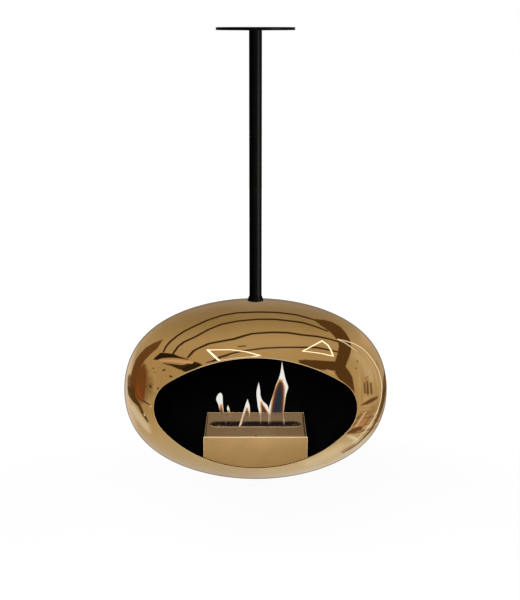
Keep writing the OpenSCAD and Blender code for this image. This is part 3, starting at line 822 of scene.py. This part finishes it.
# Each flame, in millimetres. rows run from foot to tip: height over the top plate, left edge and
# right edge; heart gives the same for its dark hollow. y is its place at foot and tip, depth its
# thickness over its width, and body how much of its left and right edge shows low over the plate.
flames = {
    "flameBulb": {
        "rows": [(-11, -69.5, -67.0), (2, -70.0, -67.6), (14, -74.1, -69.4), (24, -78.5, -71.4),
                 (34, -82.8, -73.6), (48, -86.2, -75.0), (59, -90.6, -75.4), (67, -88.6, -75.9),
                 (72, -85.2, -77.8), (74.4, -82.0, -80.0)],
        "heart": [(2, -70.6, -68.8), (14, -73.2, -70.6), (24, -78.0, -72.6), (33, -81.0, -76.4),
                  (44, -79.6, -79.2)],
        "y": (2.0, 4.0), "depth": 0.75, "body": (0.0, 0.30)},
    "flameSpark": {
        "rows": [(-11, -57.0, -54.0), (7, -58.0, -53.6), (18, -61.0, -55.6), (27, -63.4, -57.6),
                 (36, -65.8, -60.0), (42, -64.9, -62.4), (45, -64.0, -63.6)],
        "heart": [(2, -56.6, -54.6), (14, -58.4, -56.2), (26, -61.2, -59.8), (30, -61.6, -61.4)],
        "y": (4.0, 5.0), "depth": 0.8, "body": (0.10, 0.10)},
    "flameBlade": {
        "rows": [(-11, -42.0, -39.0), (-4, -39.8, -35.0), (2, -37.6, -29.0), (10, -34.9, -17.0),
                 (19, -31.8, -13.4), (28, -29.2, -12.6), (38, -26.3, -12.7), (47, -23.7, -13.6),
                 (56, -20.6, -16.3), (62, -18.6, -18.1)],
        "heart": [(-2, -34.0, -31.0), (9, -30.0, -18.0), (18, -27.6, -15.4), (27, -24.2, -15.6),
                  (38, -19.8, -19.2)],
        "y": (-11.0, -1.0), "depth": 0.5, "body": (1.0, 0.15)},
    "flameHorn": {
        "rows": [(-11, 10.6, 31.5), (8, 10.6, 32.0), (21, 9.4, 32.4), (32, 7.4, 31.6),
                 (41, 5.6, 29.4), (47, 4.6, 26.6), (52, 4.2, 21.4), (59, 3.4, 15.6),
                 (71, 2.2, 11.6), (80, 2.4, 11.0), (88, 3.8, 10.0), (96, 5.8, 8.6),
                 (101, 6.9, 7.4)],
        "heart": [(-6, 14.6, 28.6), (20, 14.8, 28.8), (28, 14.6, 27.6), (33, 14.4, 25.4),
                  (40, 14.0, 21.4), (46, 13.4, 17.4), (51, 13.2, 13.8)],
        "y": (3.0, 0.0), "depth": 0.5, "body": (0.06, 0.02)},
    "flameTall": {
        "rows": [(-11, 29.0, 68.0), (8, 28.6, 67.6), (14, 29.2, 66.2), (26, 30.0, 64.8),
                 (40, 31.0, 66.3), (51, 33.8, 67.6), (68, 39.2, 69.8), (82, 43.0, 73.4),
                 (89, 44.8, 75.2), (97, 47.2, 73.4), (105, 50.6, 70.4), (116, 54.3, 67.4),
                 (126, 56.8, 65.2), (138, 58.8, 62.8), (151, 60.1, 60.8)],
        "heart": [(-6, 36.4, 62.6), (10, 36.6, 62.6), (33, 36.4, 62.9), (51, 38.8, 64.0),
                  (69, 42.2, 64.8), (84, 45.9, 64.8), (94, 49.2, 63.8), (101, 52.2, 62.0),
                  (106, 55.2, 59.4)],
        "y": (2.0, -2.0), "depth": 0.42, "body": (0.03, 0.16)},
}
flameMesh = {
    "rows": 80,
    "sides": 48,
    "heartRows": 40,
    "heartCap": 0.6,          # how fast the heart closes towards its tip
    "thickest": 9.0,
    "slotHalf": 12.5,         # up to inSlot, the flame keeps inside the slot
    "inSlot": 4.0,
    "sway": (1.6, 0.07, 0.05),
    "sink": 0.004,            # metres below the damper to which a flame shrinks
    "keep": 0.02,
}


# Rows of numbers read as a smooth curve at count even steps
def smoothRows(rows, count):
    rows = np.array(rows, float)
    out = []
    for p in np.linspace(0, len(rows) - 1, count):
        i = min(int(p), len(rows) - 2)
        t = p - i
        before = rows[max(i - 1, 0)]
        after = rows[min(i + 2, len(rows) - 1)]
        a, b = rows[i], rows[i + 1]
        out.append(0.5 * (2 * a + (b - before) * t + (2 * before - 5 * a + 4 * b - after) * t * t
                          + (3 * a - before - 3 * b + after) * t ** 3))
    return np.array(out)


def buildFlame(name, flame, plateTop):
    count, sides = flameMesh["rows"], flameMesh["sides"]
    rows = smoothRows(flame["rows"], count)
    heart = smoothRows(flame["heart"], flameMesh["heartRows"])
    foot, top = rows[0][0], rows[-1][0]
    sway, swayUp, swayAcross = flameMesh["sway"]
    points, insets, hollows, heights, bodies = [], [], [], [], []
    bodyLeft, bodyRight = flame["body"]
    for height, left, right in rows:
        share = (height - foot) / (top - foot)
        middle, half = (left + right) / 2, (right - left) / 2
        y = flame["y"][0] + (flame["y"][1] - flame["y"][0]) * share
        y += sway * math.sin(height * swayUp + middle * swayAcross)
        thick = min(half * flame["depth"], flameMesh["thickest"])
        if height < flameMesh["inSlot"]:
            spare = flameMesh["slotHalf"] - thick
            y = min(max(y, -spare), spare)
        heartLeft = np.interp(height, heart[:, 0], heart[:, 1])
        heartRight = np.interp(height, heart[:, 0], heart[:, 2])
        above = (heart[-1][0] - height) * flameMesh["heartCap"]
        for k in range(sides):
            angle = 2 * math.pi * k / sides
            x = middle + half * math.cos(angle)
            points.append((x / 1000, (y + thick * math.sin(angle)) / 1000,
                           plateTop + height / 1000))
            insets.append(min(x - left, right - x))
            hollows.append(min(x - heartLeft, heartRight - x, above))
            heights.append(height)
            bodies.append(bodyLeft + (bodyRight - bodyLeft) * (0.5 + 0.5 * math.cos(angle)))
    faces = []
    for i in range(count - 1):
        for k in range(sides):
            right = (k + 1) % sides
            faces.append((i * sides + k, i * sides + right,
                          (i + 1) * sides + right, (i + 1) * sides + k))
    faces.append(tuple(range(sides - 1, -1, -1)))
    faces.append(tuple(range((count - 1) * sides, count * sides)))
    piece = makePiece(name, points, faces, looks["fire"], "burner")
    for label, values in (("inset", insets), ("hollow", hollows), ("height", heights),
                          ("body", bodies)):
        layer = piece.data.attributes.new(label, "FLOAT", "POINT")
        layer.data.foreach_set("value", values)
    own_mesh(piece)
    piece.visible_shadow = False


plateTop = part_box("burner_casing")[1].z
for flameName, flame in flames.items():
    buildFlame(flameName, flame, plateTop)
print("flames built:", len(flames))


studio = {
    "floorDrop": 0.62,            # from the cocoon's foot to the floor
    "floorRadius": 9.0,
    "floorSides": 96,
    "floorColour": grey(0.86),
    "floorWhite": 1.135,
    "floorNear": 0.8,             # share of plain white near the object, where the shadow falls
    "floorFar": (1.6, 3.2),
    "worldLight": 0.30,
}


def floorMaterial():
    material = bpy.data.materials.new("pale floor")
    material.use_nodes = True
    tree = material.node_tree
    bare = Wire(tree)
    diffuse = bare.add("BsdfDiffuse", None, {"Color": studio["floorColour"]}, output="BSDF")
    white = bare.add("Emission", None, {"Color": grey(1.0), "Strength": studio["floorWhite"]},
                     output="Emission")
    clear = bare.add("BsdfTransparent", output="BSDF")
    spot = bare.add("TexCoord", output="Object")
    far = spot.vector("LENGTH", spot).step(*studio["floorFar"])
    seen = bare.add("LightPath", output="Is Camera Ray")
    mirrored = bare.add("LightPath", output="Is Glossy Ray")
    share = seen * (far * (1.0 - studio["floorNear"]) + studio["floorNear"])
    mixed = mirrored.mixShaders(share.mixShaders(diffuse, white), clear)
    tree.links.new(mixed.socket, tree.nodes["Material Output"].inputs["Surface"])
    return material


def buildFloor():
    radius, count = studio["floorRadius"], studio["floorSides"]
    turns = [2 * math.pi * k / count for k in range(count)]
    ring = [(radius * math.cos(a), radius * math.sin(a), 0.0) for a in turns]
    mesh = bpy.data.meshes.new("floor")
    mesh.from_pydata(ring, [], [tuple(range(count))])
    mesh.materials.append(floorMaterial())
    floor = bpy.data.objects.new("floor", mesh)
    floor.location = (0, 0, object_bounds()[0][2] - studio["floorDrop"])
    bpy.context.scene.collection.objects.link(floor)


# What the polish mirrors: a plain room with a tan boarded ceiling, dark soft hangings, and thin
# strip lights. Places are as in a mirror ball seen from front: (0, 0) is front itself, (0, 1)
# is round behind the top. Pairs of numbers are ramps along across, up or a noise.
room = {
    "front": (0.0, -0.9724, 0.2334),
    "up": (0.0, 0.2334, 0.9724),
    "tones": [(0.00, rgb(0.50, 0.49, 0.46)), (0.05, rgb(0.56, 0.55, 0.53)),
              (0.17, rgb(0.60, 0.57, 0.50)), (0.27, rgb(0.60, 0.54, 0.43)),
              (0.37, rgb(0.50, 0.42, 0.29)), (0.50, rgb(0.50, 0.42, 0.29)),
              (0.65, rgb(0.52, 0.44, 0.30)), (0.77, rgb(0.54, 0.465, 0.34)),
              (0.87, rgb(0.38, 0.32, 0.205)), (0.94, rgb(0.35, 0.305, 0.24)),
              (1.00, rgb(0.38, 0.35, 0.32))],
    "leftEdge": rgb(0.80, 0.78, 0.74),
    "low": rgb(0.83, 0.855, 0.84),
    "far": rgb(0.27, 0.235, 0.20),
    "softbox": rgb(1.25, 1.48, 2.10),
    "boxCentre": (0.0, -0.08, 0.0),
    "boxScale": (1.0, 1.35, 1.0),
    "boxFade": (0.10, 0.47),
    "pale": (0.80, 0.93),                 # the pale left edge, and how it leans
    "paleLean": 0.12,
    "sides": ((0.52, 0.66), (0.86, 0.93)),
    "middle": ((-0.34, -0.10), (0.10, 0.45)),
    "upright": ((30.0, 2.4, 1.0), 0.42, 0.68),
    "sand": rgb(0.74, 0.66, 0.52),
    "corner": (0.46, 0.60),
    "cornerUp": ((-0.66, -0.52), (-0.36, -0.16)),
    "slant": ((5.0, 30.0, 1.0), -52),
    "bark": rgb(0.22, 0.115, 0.045),
    "straw": rgb(0.92, 0.82, 0.62),
    "lowAcross": (-0.45, 0.10),
    "lowUp": (-0.74, -0.56),
    "cloudTone": rgb(0.40, 0.30, 0.17),
    "stain": rgb(0.62, 0.44, 0.33),
    "farSide": (0.962, 0.992),            # of the ball's radius, before and after the strokes
    "rim": (0.976, 0.998),
    "seam": rgb(0.026, 0.008, 0.001),
    "wall": rgb(0.218, 0.102, 0.041),
    "umber": rgb(0.175, 0.096, 0.046),
    "ember": rgb(0.290, 0.094, 0.028),
    "glow": rgb(0.36, 0.15, 0.075),
    "moss": rgb(0.175, 0.135, 0.075),
    "dark": rgb(0.114, 0.068, 0.028),
    "black": rgb(0.028, 0.019, 0.012),
    "salmon": rgb(0.80, 0.55, 0.46),
    "pink": rgb(0.74, 0.54, 0.47),
    "rust": rgb(0.54, 0.31, 0.18),
    "brown": rgb(0.34, 0.22, 0.14),
    "cream": rgb(0.92, 1.06, 1.30),
    "white": rgb(1.15, 1.40, 2.00),
    "streak": rgb(1.15, 1.26, 1.45),
    "strip": rgb(2.9, 3.1, 4.3),
}

# Each stroke: its tone, how soft its edge is, how strong it is, and its points (across, up, half
# width). Softness and points are in thousandths of the ball's radius.
strokes = [
    # soft patches
    ("moss", 55, 0.62, [(-640, 120, 20), (-644, 30, 36), (-650, -50, 34), (-660, -120, 20)]),
    ("wall", 34, 1.0, [(-726, 262, 34), (-740, 196, 74), (-754, 99, 92), (-758, -12, 90),
        (-752, -101, 72), (-728, -152, 40)]),
    ("cream", 30, 0.66, [(-831, -277, 38), (-754, -381, 50), (-673, -479, 36), (-631, -550, 12)]),
    ("cream", 40, 0.4, [(264, -818, 38), (332, -778, 42), (394, -729, 34), (448, -676, 18)]),
    ("leftEdge", 60, 0.48, [(606, 410, 30), (690, 312, 45), (735, 185, 45), (760, 98, 26)]),
    ("leftEdge", 12, 0.34, [(567, 553, 4), (641, 486, 8), (722, 385, 11), (792, 265, 13),
        (835, 133, 12), (852, -8, 8)]),
    ("pink", 40, 0.38, [(747, 559, 50), (790, 486, 36)]),
    ("brown", 40, 0.7, [(560, -420, 34), (700, -400, 60), (780, -300, 40)]),
    ("rust", 30, 0.55, [(604, -307, 20), (657, -403, 36), (638, -478, 32)]),
    ("brown", 22, 0.7, [(864, 275, 12), (895, 157, 15)]),
    ("brown", 16, 0.75, [(467, -752, 8), (510, -727, 14), (553, -698, 10)]),
    ("brown", 30, 0.45, [(700, 110, 20), (712, -90, 20)]),
    # ceiling seams
    ("seam", 3, 0.95, [(330, 783, 7), (286, 801, 8), (216, 830, 8), (115, 845, 8), (17, 846, 8),
        (-93, 840, 8), (-178, 817, 8), (-258, 771, 8), (-322, 721, 8), (-390, 668, 9),
        (-434, 622, 9), (-480, 563, 10), (-508, 514, 9), (-527, 447, 8)]),
    ("seam", 3, 0.95, [(389, 674, 8), (314, 717, 8), (243, 749, 9), (176, 759, 9), (98, 770, 9),
        (16, 768, 8), (-90, 750, 8), (-172, 722, 8), (-237, 674, 8), (-313, 598, 9),
        (-380, 549, 10), (-416, 502, 9), (-449, 422, 8)]),
    ("seam", 3, 0.95, [(455, 561, 9), (388, 587, 9), (318, 605, 10), (235, 613, 10),
        (157, 630, 10), (77, 628, 10), (-15, 614, 9), (-57, 590, 10), (-105, 559, 11),
        (-166, 539, 10), (-230, 517, 10), (-290, 467, 9), (-312, 444, 9), (-343, 376, 8)]),
    ("seam", 3, 0.92, [(450, 441, 8), (380, 462, 9), (312, 481, 11), (247, 478, 10), (136, 473, 8),
        (45, 461, 8), (-14, 443, 8), (-73, 422, 8), (-115, 403, 8), (-145, 381, 11),
        (-170, 367, 10), (-206, 326, 7)]),
    ("seam", 4, 0.85, [(-78, 478, 6), (-48, 484, 7)]),
    # left hanging, the ember-coloured wall beside it, and its post
    ("umber", 7, 1.0, [(-550, 590, 1), (-587, 549, 24), (-621, 513, 40), (-693, 448, 50),
        (-755, 368, 50), (-805, 285, 50), (-836, 186, 46), (-856, 92, 44), (-862, 2, 42),
        (-853, -78, 38)]),
    ("umber", 14, 0.9, [(-915, 80, 16), (-918, 30, 30), (-911, -20, 32), (-904, -81, 26)]),
    ("ember", 16, 0.9, [(-784, 66, 12), (-771, -14, 22), (-757, -95, 22), (-730, -139, 12)]),
    ("umber", 6, 0.7, [(-713, 275, 3), (-738, 210, 5), (-756, 140, 5), (-744, 101, 3)]),
    ("umber", 6, 0.6, [(-807, 142, 3), (-813, 31, 5), (-813, -80, 5)]),
    ("glow", 12, 0.8, [(-789, 10, 4), (-776, -60, 8), (-735, -120, 10)]),
    ("dark", 10, 0.95, [(-906, -75, 30), (-878, -122, 46), (-824, -173, 36), (-771, -204, 22)]),
    ("dark", 8, 0.95, [(-855, -37, 26), (-839, -143, 38), (-790, -201, 28), (-753, -229, 21),
        (-720, -301, 19), (-686, -354, 18), (-650, -416, 9)]),
    ("black", 6, 0.85, [(-700, -160, 8), (-664, -186, 10), (-628, -200, 5)]),
    ("white", 5, 1.0, [(-622, -212, 4), (-612, -220, 3)]),
    ("white", 5, 1.0, [(-694, -325, 5), (-684, -348, 5)]),
    # shade at the left, with its salmon edge
    ("black", 5, 1.0, [(-614, 357, 4), (-581, 374, 22), (-538, 405, 33), (-495, 403, 28),
        (-450, 397, 22), (-409, 380, 11), (-343, 353, 4)]),
    ("black", 6, 0.96, [(-518, 315, 4), (-445, 291, 13), (-390, 267, 25), (-347, 258, 40),
        (-306, 287, 37), (-273, 288, 9)]),
    ("black", 5, 0.96, [(-307, 314, 7), (-301, 289, 10)]),
    ("black", 6, 0.96, [(-346, 243, 30), (-313, 259, 34), (-276, 286, 17)]),
    ("salmon", 5, 1.0, [(-549, 346, 8), (-447, 341, 14), (-370, 327, 15), (-322, 318, 14)]),
    ("black", 5, 0.85, [(-235, 312, 6), (-185, 336, 11)]),
    # right hanging and its arm
    ("dark", 6, 1.0, [(309, 794, 3), (339, 780, 18), (381, 757, 40), (422, 731, 52),
        (461, 692, 58), (489, 639, 58), (512, 577, 56), (516, 501, 54), (496, 417, 51),
        (472, 339, 47), (460, 274, 40), (472, 210, 54), (500, 137, 55), (525, 57, 38),
        (551, -10, 18), (569, -48, 3)]),
    ("dark", 6, 1.0, [(210, 336, 5), (245, 308, 38), (293, 289, 54), (339, 286, 52),
        (388, 282, 52), (442, 278, 55)]),
    ("salmon", 10, 0.75, [(366, 232, 8), (389, 206, 14), (407, 182, 7)]),
    # right edge
    ("umber", 8, 1.0, [(972, 5, 30), (964, -84, 46), (942, -156, 42)]),
    ("dark", 9, 0.95, [(940, -141, 36), (907, -249, 29), (860, -359, 22), (797, -469, 15),
        (735, -560, 12), (663, -632, 10)]),
    ("dark", 9, 0.8, [(663, -632, 10), (595, -696, 11), (530, -740, 10), (467, -773, 6)]),
    # marks on the right wall
    ("dark", 10, 0.85, [(673, 63, 8), (677, -54, 12)]),
    ("dark", 9, 0.92, [(708, 79, 8), (711, -66, 13)]),
    ("dark", 10, 0.88, [(751, 51, 11), (757, -74, 14)]),
    ("umber", 12, 1.0, [(634, -203, 6), (691, -184, 22), (754, -162, 27), (824, -146, 18)]),
    ("streak", 8, 0.6, [(577, -463, 5), (633, -369, 7), (682, -293, 5)]),
    ("umber", 7, 0.8, [(551, -450, 6), (633, -305, 5)]),
    ("umber", 8, 0.7, [(657, -475, 7), (750, -351, 6)]),
    ("umber", 12, 1.0, [(505, -524, 18), (556, -512, 32), (622, -494, 22)]),
    ("white", 20, 0.5, [(512, -570, 8), (557, -608, 16), (591, -646, 6)]),
    # specks
    ("black", 5, 0.75, [(613, 340, 7), (612, 328, 7)]),
    ("black", 5, 0.75, [(594, 255, 6), (594, 247, 6)]),
    ("black", 5, 0.6, [(690, 128, 4), (720, 140, 4)]),
    ("black", 5, 0.85, [(-610, 254, 7), (-607, 246, 7)]),
    ("black", 5, 0.8, [(-594, 209, 5), (-594, 201, 5)]),
    ("black", 5, 0.95, [(-514, 231, 9), (-504, 239, 8)]),
    ("black", 5, 0.95, [(-459, 166, 9), (-449, 158, 8)]),
    ("black", 12, 0.85, [(-634, 40, 12), (-626, 20, 12)]),
    ("black", 8, 0.8, [(-556, 20, 8), (-552, 4, 8)]),
    ("black", 8, 0.55, [(-676, 30, 6), (-670, 18, 6)]),
    ("black", 8, 0.55, [(-617, 66, 6), (-612, 54, 6)]),
    ("black", 8, 0.5, [(-632, -32, 6), (-626, -44, 6)]),
    ("black", 6, 0.5, [(-586, -40, 5), (-580, -50, 5)]),
    ("black", 6, 0.5, [(-703, 146, 4), (-701, 136, 4)]),
    ("salmon", 7, 0.5, [(-583, 55, 4), (-592, -40, 4)]),
    # streak of light down the right wall
    ("streak", 4, 1.0, [(459, 587, 4), (527, 569, 5), (605, 539, 5), (684, 484, 5), (760, 396, 5),
        (832, 278, 5), (884, 160, 5), (908, 35, 5), (913, -64, 5), (896, -162, 5), (860, -256, 5),
        (815, -345, 5), (763, -430, 5), (690, -530, 5), (618, -602, 4), (545, -666, 3)]),
    ("streak", 4, 0.9, [(459, 583, 5), (514, 550, 5), (567, 500, 5), (621, 450, 2)]),
    # strip lights
    ("strip", 3, 1.0, [(-235, 448, 3), (-121, 445, 3), (-40, 420, 3), (22, 383, 3), (-20, 362, 3),
        (-84, 350, 3), (-165, 332, 2)]),
    ("strip", 3, 1.0, [(-235, 448, 5), (-172, 326, 5)]),
    ("strip", 3, 1.0, [(345, 559, 4), (383, 513, 4), (402, 449, 4), (412, 392, 4), (330, 419, 3),
        (231, 437, 3), (285, 497, 3), (345, 559, 4)]),
]


# 1 inside a chain of round-ended strokes whose width runs smoothly from point to point
def strokeMask(place, points, soft):
    points = [[value / 1000 for value in point] for point in points]
    nearest = None
    for (ax, ay, ar), (bx, by, br) in zip(points, points[1:]):
        run = (bx - ax, by - ay, 0.0)
        size = run[0] ** 2 + run[1] ** 2
        offset = place.vector("SUBTRACT", place, (ax, ay, 0.0))
        along = offset.vector("DOT_PRODUCT", offset, (run[0] / size, run[1] / size, 0.0))
        along = along.add("Clamp", None, {"Value": along})
        foot = along.add("VectorMath", {"operation": "SCALE"}, {0: run, "Scale": along})
        gap = offset.vector("DISTANCE", offset, foot) - (along * (br - ar) + ar)
        nearest = gap if nearest is None else nearest.min(gap)
    return 1.0 - nearest.step(-soft / 1000, soft / 1000)


def roomColour(bare):
    way = bare.add("TexCoord", output="Generated")
    size = (way.vector("DOT_PRODUCT", way, room["front"]) * 2.0 + 2.0).max(0.0001)
    size = size.math("SQRT", size)
    across = way.vector("DOT_PRODUCT", way, xWay) / size
    up = way.vector("DOT_PRODUCT", way, room["up"]) / size
    place = bare.add("CombineXYZ", None, {"X": across, "Y": up})

    def patches(scale, detail, spot=place):
        return bare.add("TexNoise", None, {"Vector": spot, "Scale": scale, "Detail": detail})

    colour = (up * 0.5 + 0.5).ramp(room["tones"])
    pale = (-across - up * room["paleLean"]).step(*room["pale"])
    colour = pale.blend(colour, room["leftEdge"])
    # upright streaks at both sides
    stretch, low, high = room["upright"]
    tall = bare.add("Mapping", None, {"Vector": place, "Scale": stretch})
    tall = patches(1.0, 3.0, tall).step(low, high)
    sides = across.abs().band(*room["sides"])
    colour = (tall * sides * up.band(*room["middle"]) * 0.55).blend(colour, room["sand"])
    # slanting streaks low at the right
    stretch, lean = room["slant"]
    slant = bare.add("Mapping", None, {"Vector": place, "Scale": stretch,
                                       "Rotation": (0.0, 0.0, math.radians(lean))})
    slant = patches(1.0, 4.0, slant)
    corner = across.step(*room["corner"]) * up.band(*room["cornerUp"])
    colour = (slant.step(0.50, 0.60) * corner * 0.8).blend(colour, room["bark"])
    colour = ((1.0 - slant.step(0.38, 0.46)) * corner * 0.8).blend(colour, room["straw"])
    # broad low light, then faint clouds, stains and flecks
    low = (across + up * 0.3).step(*room["lowAcross"]) * (1.0 - up.step(*room["lowUp"]))
    colour = (low * 0.75).blend(colour, room["low"])
    colour = ((patches(3.0, 3.0) - 0.5) * 0.5).max(0.0).blend(colour, room["cloudTone"])
    colour = ((patches(7.0, 4.0) - 0.52) * 0.9).max(0.0).blend(colour, room["stain"])
    fleck = patches(38.0, 3.0).step(0.66, 0.74)
    colour = (fleck * sides * 0.5).blend(colour, room["dark"])
    # the far side of the room, which shows at the outline only
    edge = place.vector("LENGTH", place)
    colour = (edge.step(*room["farSide"]) * 0.9).blend(colour, room["far"])
    for tone, soft, strength, points in strokes:
        colour = (strokeMask(place, points, soft) * strength).blend(colour, room[tone])
    colour = edge.step(*room["rim"]).blend(colour, room["far"])
    # a softbox in front, which only the opening's round edge and turned sides can catch
    box = place.vector("MULTIPLY", place.vector("SUBTRACT", place, room["boxCentre"]),
                       room["boxScale"])
    box = 1.0 - box.vector("LENGTH", box).step(*room["boxFade"])
    return box.blend(colour, room["softbox"])


def buildWorld():
    world = bpy.data.worlds.new("studio")
    bpy.context.scene.world = world
    world.use_nodes = True
    tree = world.node_tree
    bare = Wire(tree)

    def glow(colour):
        return bare.add("Background", None, {"Color": colour}, output="Background")

    mirrored = bare.add("LightPath", output="Is Glossy Ray")
    seen = bare.add("LightPath", output="Is Camera Ray")
    light = mirrored.mixShaders(glow(grey(studio["worldLight"])), glow(roomColour(bare)))
    light = seen.mixShaders(light, glow(grey(1.0)))
    tree.links.new(light.socket, tree.nodes["World Output"].inputs["Surface"])


lamps = {
    "keyLight": {"power": 90.0, "size": (1.3, 0.9), "place": (-0.25, -3.0, 0.60),
                 "aim": (0.0, 0.0, -0.93)},
    "fillLight": {"power": 8.0, "size": (1.4, 2.0), "place": (2.3, -1.6, -0.2),
                  "aim": (0.0, 0.0, -0.7)},
    "paintStrip": {"power": 245.0, "size": (0.9, 1.5), "place": (2.10, -1.30, -0.62),
                   "aim": (0.0, 0.0, -0.62)},
}


def areaLight(name):
    lamp = lamps[name]
    data = bpy.data.lights.new(name, "AREA")
    data.shape = "RECTANGLE"
    data.energy = lamp["power"]
    data.size, data.size_y = lamp["size"]
    light = bpy.data.objects.new(name, data)
    way = Vector(lamp["aim"]) - Vector(lamp["place"])
    light.location = lamp["place"]
    light.rotation_euler = way.to_track_quat("-Z", "Y").to_euler()
    light.visible_glossy = False
    light.visible_camera = False
    bpy.context.scene.collection.objects.link(light)
    return light


buildFloor()
buildWorld()
areaLight("keyLight")
areaLight("fillLight")

# the upright highlight on the black paint, which nothing else catches
paintStrip = areaLight("paintStrip")
paintStrip.visible_glossy = True
painted = bpy.data.collections.new("painted")
paintStrip.light_linking.receiver_collection = painted

# the polish mirrors the room alone, without the hanger
for name in frame["record"]["behaviour"]["bodies"]["hanger"]:
    frame["nodes"][name].visible_glossy = False
for name in ("ceiling_plate", "pole_tube", "pole_collar"):
    painted.objects.link(frame["nodes"][name])
print("studio built")


view = {
    "sensor": 36.0,
    "farthest": 100.0,
    "distance": 2.5666,
    "height": 0.01696,
    "pitch": 13.493,
    "focal": 70.27,
    "shift": 0.0075,
}


def buildCamera():
    data = bpy.data.cameras.new("camera")
    data.lens = view["focal"]
    data.sensor_width = view["sensor"]
    data.shift_x = view["shift"]
    data.clip_end = view["farthest"]
    camera = bpy.data.objects.new("camera", data)
    camera.location = (0, -view["distance"], view["height"])
    camera.rotation_euler = (math.radians(90 - view["pitch"]), 0, 0)
    bpy.context.scene.collection.objects.link(camera)
    bpy.context.scene.camera = camera


buildCamera()
bpy.context.scene.view_settings.view_transform = "Standard"
print("camera set")
